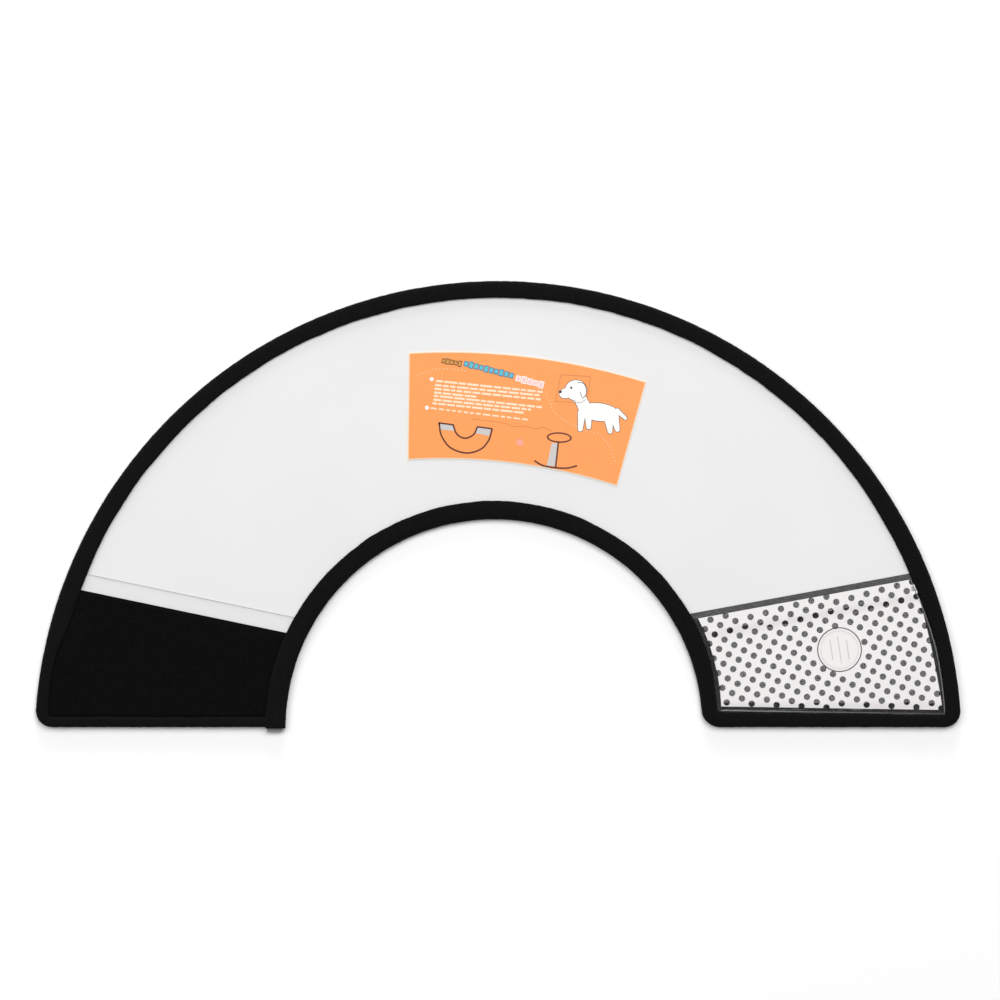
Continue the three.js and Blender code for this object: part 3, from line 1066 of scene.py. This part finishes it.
CARD_UPPER = circle_through((-49.2, 211.6), (14.0, 209.9), (81.5, 195.6))
CARD_LOWER = circle_through((-49.9, 152.7), (-1.8, 152.0), (65.5, 138.3))
CARD_LEFT = ((-49.9, 152.7), (-49.2, 211.6))
CARD_RIGHT = ((65.5, 138.3), (81.5, 195.6))
CARD_FOLDS = (2, 1, -1, -2)
CARD_BASE = FRONT + 0.28
CARD_FACE = CARD_BASE + 0.06
INK_LOW = CARD_FACE + 0.02
INK_HIGH = INK_LOW + 0.04
INK_STEP = 2.2  # longest side of a printed shape's triangles
OVER = 0.04  # lift of ink that is printed over other ink
CARD_MARGIN = 0.55  # of bare card round the printed colour


def card_stops(circle, inset):
    """Angles on one of the card's arcs at its left end, the sectors' middles and its right end."""
    ends = [on_line(circle, [(x + d, y) for x, y in line], 1)
            for line, d in ((CARD_LEFT, inset), (CARD_RIGHT, -inset))]
    return [ends[0], *(hit(circle, middle_of(k)) for k in (1, 0, -1)), ends[1]]


def card_layer(part, inset, low, high):
    circles = grown(CARD_LOWER, inset), grown(CARD_UPPER, -inset)
    lines = [arc(c, *card_stops(c, inset)[part:part + 2], 16) for c in circles]
    return slab_body(*lines, 20, low, high)


def build_card():
    art = card_art()
    for part, k in enumerate(CARD_FOLDS):
        bodies = [(*card_layer(part, 0, FRONT, CARD_BASE), "card_edge"),
                  (*card_layer(part, CARD_MARGIN, CARD_BASE, CARD_FACE), "card")]
        bodies += [body for fold, body in art if fold == k]
        card = merged(f"printed_card_{body_name(k)}", bodies)
        if k != 2:
            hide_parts(f"card_{body_name(k)}")
        if k == 1:
            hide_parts("card_center")
        finish_piece(card)


def dense(outline, step):
    """A closed outline with points added so that no side is longer than step."""
    outline = np.asarray(outline, float)
    sides = []
    for a, b in zip(outline, np.roll(outline, -1, axis=0)):
        count = max(1, math.ceil(np.linalg.norm(b - a) / step))
        sides.append(a + (b - a) * np.arange(count)[:, None] / count)
    return np.concatenate(sides)


def inner_grid(outline, step):
    """Points of a square grid that lie inside an outline."""
    low, high = outline.min(0) + step / 2, outline.max(0)
    x, y = np.meshgrid(np.arange(low[0], high[0], step), np.arange(low[1], high[1], step))
    grid = np.stack([x.ravel(), y.ravel()], 1)
    return grid[contains(outline, grid)] if len(grid) else []


def ink(outline, colour, holes=(), lift=0.0):
    """A printed shape, fine enough to bend with the card, and the fold that it bends at."""
    outline = dense(outline, INK_STEP)
    points, triangles = fill(outline, holes, (), inner_grid(outline, INK_STEP))
    x, y = points.mean(0)
    sector = (math.atan2(y, x) - math.pi / 2) / TURN
    k = math.floor(sector) + (1 if sector >= 0 else 0)
    body = prism_body(points, triangles, INK_LOW + lift, INK_HIGH + lift)
    return int(np.clip(k, -2, 2)), (*body, colour)


def stroke(line, width):
    """The outline of a line of some width, with mitred corners."""
    line = np.asarray(line, float)
    way = np.diff(line, axis=0)
    way /= np.linalg.norm(way, axis=1)[:, None]
    before, after = np.vstack([way[:1], way]), np.vstack([way, way[-1:]])
    middle = before + after
    middle /= np.linalg.norm(middle, axis=1)[:, None]
    reach = width / 2 / np.clip((middle * after).sum(1), 0.5, 1)
    normal = np.stack([-middle[:, 1], middle[:, 0]], 1) * reach[:, None]
    return np.vstack([line + normal, (line - normal)[::-1]])


def smooth_line(points, count=6):
    """A smooth line through a few points."""
    p = np.asarray(points, float)
    p = np.vstack([2 * p[0] - p[1], p, 2 * p[-1] - p[-2]])
    t = np.linspace(0, 1, count, endpoint=False)[:, None]
    runs = [0.5 * (2 * b + (c - a) * t + (2 * a - 5 * b + 4 * c - d) * t ** 2
                   + (3 * b - a - 3 * c + d) * t ** 3) for a, b, c, d in zip(p, p[1:], p[2:], p[3:])]
    return np.vstack([*runs, p[-2:-1]])


def oval(x, y, rx, ry, tilt=0.0, count=24):
    t = np.linspace(0, 2 * math.pi, count, endpoint=False)
    c, s = math.cos(math.radians(tilt)), math.sin(math.radians(tilt))
    u, v = rx * np.cos(t), ry * np.sin(t)
    return np.stack([x + u * c - v * s, y + u * s + v * c], 1)


CARD_SPOTS = ((-36.6, 197.1, 1.1, "white"), (-39.2, 181.4, 1.1, "white"), (11.9, 162.3, 1.9, "rose"))
CARD_THREAD = ((-14.7, 175.2), (2, 173.2), (9, 171.0), (14, 171.4), (21, 169.9), (25, 170.6), (29.9, 168.4))
THREAD = 0.22  # width of that faint line


def card_art():
    """Everything printed on the card, from its heading to the faint line across it."""
    spots = [ink(oval(x, y, r, r), colour) for x, y, r, colour in CARD_SPOTS]
    return [*title_blocks(), *text_bars(), *flat_pictogram(), *cone_pictogram(), *dotted_lines(), *dog(),
            *spots, ink(stroke(smooth_line(CARD_THREAD), THREAD), "faint")]


def block(start, end, height, colour, lift=0.0):
    """A plain bar from start to end."""
    return ink(stroke([start, (np.array(start) + np.array(end)) / 2, end], height), colour, lift=lift)


TITLE = (  # groups of plain blocks: start, end, number, height, colour and rim
    ((-31.2, 207.4), (-19.9, 205.4), 5, 3.0, "yellow", "brown"),
    ((-19.0, 205.9), (8.6, 198.8), 10, 3.5, "cyan", "blue"),
    ((9.6, 197.9), (25.2, 193.6), 5, 3.7, "pink", "white"),
)
BLOCK_HEIGHTS = (0.85, 1.1, 0.95)  # of a group's height, in turn
BLOCK_GAP = 0.06  # half the gap between blocks, as a share of their step
BLOCK_RIM = (0.14, 0.9)  # the rim: share of the step at each end, and height in all


def title_blocks():
    """Rows of plain blocks in three colours where the card has its heading."""
    art = []
    for start, end, number, height, colour, rim in TITLE:
        start, end = np.array(start), np.array(end)
        step = (end - start) / number
        for i in range(number):
            near, far = start + step * (i + BLOCK_GAP), start + step * (i + 1 - BLOCK_GAP)
            tall = height * BLOCK_HEIGHTS[i % 3]
            inset = step * BLOCK_RIM[0]
            art.append(block(near, far, tall, rim))
            art.append(block(near + inset, far - inset, tall - BLOCK_RIM[1], colour, OVER))
    return art


TEXT_LINES = (  # start and end of each row of small print
    ((-34.3, 196.2), (24.5, 190.0)), ((-34.8, 193.9), (24.5, 188.0)), ((-35.1, 191.9), (23.6, 185.9)),
    ((-35.3, 189.8), (-12.0, 187.4)), ((-35.4, 188.0), (24.0, 181.6)), ((-35.7, 185.9), (18.1, 180.3)),
    ((-36.2, 183.9), (14.0, 178.6)), ((-37.1, 181.2), (16.3, 174.8)),
)
WORDS = ((2.2, 7.5), 1.15, 0.7)  # shortest and longest bar, height and gap
SMALL_WORDS = ((1.6, 4.2), 0.92, 1.12)  # the same for the last row
ROW_SLACK = 1.5  # the most that a row is left short


def text_bars():
    """Rows of plain bars of word length where the card has its small print."""
    draw = np.random.default_rng(SEED + 1)
    art = []
    for row, (start, end) in enumerate(TEXT_LINES):
        lengths, height, gap = SMALL_WORDS if row == len(TEXT_LINES) - 1 else WORDS
        start, way = along_line((start, end))
        reach = np.linalg.norm(end - start)
        at = 0.0
        while at < reach - ROW_SLACK:
            word = min(draw.uniform(*lengths), reach - at)
            art.append(block(start + way * at, start + way * (at + word), height, "pale"))
            at += word + gap
    return art


LINE = 0.85  # the pictograms' line


def flat_pictogram():
    """The collar lying flat: a U with a grey panel at each end."""
    outer = smooth_line([(-32.5, 173.0), (-31.2, 166.0), (-26.2, 159.4), (-17.5, 156.5), (-9.6, 158.6),
                         (-5.2, 163.6), (-3.3, 169.8)])
    inner = smooth_line([(-11.4, 170.9), (-13.6, 166.6), (-18.4, 164.6), (-22.8, 167.0), (-24.8, 172.0)])
    loop = np.vstack([outer, inner, outer[:1], outer[1:2]])
    left = [(-32.0, 172.6), (-25.0, 171.7), (-24.3, 168.6), (-31.6, 169.4)]
    right = [(-11.3, 170.6), (-4.0, 169.5), (-4.9, 165.9), (-12.6, 167.4)]
    halves = [loop[:len(outer)], loop[len(outer) - 1:]]
    return [ink(left, "grey"), ink(right, "grey"),
            *(ink(stroke(half, LINE), "brown", lift=OVER) for half in halves)]


def cone_pictogram():
    """The collar closed into a cone: an oval neck, the overlap and the mouth's near edge."""
    neck = oval(33.6, 165.0, 6.9, 2.9, -3, 28)
    hole = oval(33.6, 165.0, 6.0, 2.1, -3, 28)
    panel = [(29.5, 162.0), (32.9, 161.9), (31.4, 149.2), (26.8, 149.6)]
    mouth = smooth_line([(19.9, 152.3), (24.6, 149.6), (31.3, 148.4), (38.0, 148.2), (43.4, 149.5)])
    return [ink(neck, "brown", [hole], OVER), ink(panel, "grey"),
            ink(stroke([(33.1, 162.3), (31.6, 148.8)], LINE), "brown", lift=OVER),
            ink(stroke(mouth, LINE), "brown", lift=2 * OVER)]


DOTTED = (  # lines of small dots across the card
    [(26.3, 189.4), (30.9, 179.3), (38.2, 173.4), (48.2, 168.9), (55.5, 166.6), (61.0, 160.2), (64.6, 151.1)],
    [(-43.9, 199.4), (-35.7, 202.3), (-26.0, 202.8), (-17.5, 201.6)],
)
DOTTED_STEP, DOTTED_R = 2.0, 0.27


def dotted_lines():
    art = []
    for points in DOTTED:
        line = smooth_line(points, 30)
        run = np.concatenate([[0], np.cumsum(np.linalg.norm(np.diff(line, axis=0), axis=1))])
        for at in np.arange(0.4, run[-1], DOTTED_STEP):
            x, y = (np.interp(at, run, line[:, i]) for i in (0, 1))
            art.append(ink(oval(x, y, DOTTED_R, DOTTED_R, 0, 6), "pale"))
    return art


def limb(start, end, wide, narrow):
    """A tapered limb's outline with round ends."""
    a, b = np.array(start, float), np.array(end, float)
    way = math.atan2(b[1] - a[1], b[0] - a[0])
    near = arc((*a, wide / 2), way + math.pi / 2, way + 1.5 * math.pi, 8)
    far = arc((*b, narrow / 2), way - math.pi / 2, way + math.pi / 2, 8)
    return np.vstack([near, far])


OUTLINE = 0.3  # the dog's dark outline
WHITE_LIFT = (0.02, 0.004)  # of its first white shape, and what each later one adds
FACE_LIFT = 0.09  # of its nose, eye and ear


def dog():
    """A plain standing dog in white with a thin outline, and the cone round its head in fine lines."""
    limbs = [((46.0, 178.5), (45.2, 169.6), 4.4, 2.6), ((49.6, 178.5), (49.8, 170.8), 4.2, 2.6),
             ((60.6, 177.0), (61.6, 168.4), 5.6, 2.6), ((64.0, 176.5), (65.6, 169.4), 4.8, 2.6),
             ((65.5, 179.8), (70.0, 175.6), 2.6, 1.8), ((47.6, 181.5), (44.2, 188.5), 7.0, 6.4)]
    shapes = [(limb(*v), limb(v[0], v[1], v[2] + 2 * OUTLINE, v[3] + 2 * OUTLINE)) for v in limbs]
    rounds = [(55.4, 179.0, 11.0, 4.9, -6), (42.8, 191.0, 6.0, 5.6, 0), (37.4, 189.4, 3.8, 2.8, 12)]
    shapes += [(oval(*v), oval(v[0], v[1], v[2] + OUTLINE, v[3] + OUTLINE, v[4])) for v in rounds]
    ear = smooth_line([(43.6, 195.4), (47.4, 194.4), (48.6, 189.6), (46.6, 186.8), (45.0, 190.2)])
    band = smooth_line([(40.8, 185.2), (44.8, 184.2), (48.4, 186.0)])
    cone = [(41.4, 184.4), (31.4, 184.8), (34.6, 199.6), (50.8, 198.6), (49.2, 187.4)]
    art = [ink(rim, "dark") for _, rim in shapes]
    art += [ink(shape, "white", lift=WHITE_LIFT[0] + WHITE_LIFT[1] * i)
            for i, (shape, _) in enumerate(shapes)]
    art += [ink(oval(34.2, 190.2, 0.9, 0.8), "dark", lift=FACE_LIFT),
            ink(oval(40.2, 192.4, 0.6, 0.7), "dark", lift=FACE_LIFT),
            ink(stroke(ear, OUTLINE), "dark", lift=FACE_LIFT), ink(stroke(band, 0.5), "grey", lift=0.1),
            ink(stroke(cone, 0.25), "faint")]
    return art


# ---- Camera, lights and floor ----

VIEW_CENTRE = (1.0, 130.6)  # the plan point in the middle of the picture
VIEW_WIDTH = 550.0  # millimetres across the picture
CAMERA_HEIGHT = 1.9
WORLD = 0.34  # strength of the even white surroundings
SOFTBOXES = (  # name, place, size in metres, power in watts
    ("key", (0.5, 1.1, 1.9), 1.3, 29),
    ("fill", (-1.3, 0.5, 1.6), 1.3, 15),
    ("low", (0.0, 4.4, 0.85), 1.6, 125),
    ("glare", (0.36, -0.17, 2.0), 0.42, 1.25),
)


SENSOR = 36  # of the camera, in millimetres
FLOOR = 6  # half the floor's width, in metres


def build_stage():
    centre = metres((*VIEW_CENTRE, 0))
    camera = new_object("camera", bpy.data.cameras.new("camera"))
    camera.location = (centre[0], centre[1], CAMERA_HEIGHT)
    camera.data.sensor_width = SENSOR
    camera.data.lens = SENSOR * (CAMERA_HEIGHT - TOP / 1000) / (VIEW_WIDTH / 1000)
    camera.data.clip_end = 50
    bpy.context.scene.camera = camera

    mesh = bpy.data.meshes.new("floor")
    corners = [(x * FLOOR, y * FLOOR, 0) for x, y in ((-1, -1), (1, -1), (1, 1), (-1, 1))]
    mesh.from_pydata(corners, [], [(0, 1, 2, 3)])
    mesh.materials.append(new_material("floor_white", grey(0.96), 0.9)[0])
    new_object("floor", mesh)

    world = bpy.data.worlds.new("studio")
    world.use_nodes = True
    background = world.node_tree.nodes["Background"].inputs
    background["Color"].default_value = (1, 1, 1, 1)
    background["Strength"].default_value = WORLD
    bpy.context.scene.world = world
    for softbox in SOFTBOXES:
        add_softbox(*softbox)
    bpy.context.scene.view_settings.view_transform = "Standard"


def add_softbox(name, place, size, watts):
    """A square light that faces the middle of the part."""
    light = new_object(name, bpy.data.lights.new(name, "AREA"))
    light.data.shape = "SQUARE"
    light.data.size = size
    light.data.energy = watts
    light.location = place
    light.rotation_euler = (-Vector(place)).to_track_quat("-Z", "Y").to_euler()


build_stage()
build_sheet()
build_tab()
build_tape()
build_loop_panels()
build_strip()
build_hook_panel()
build_film()
build_print()
build_card()
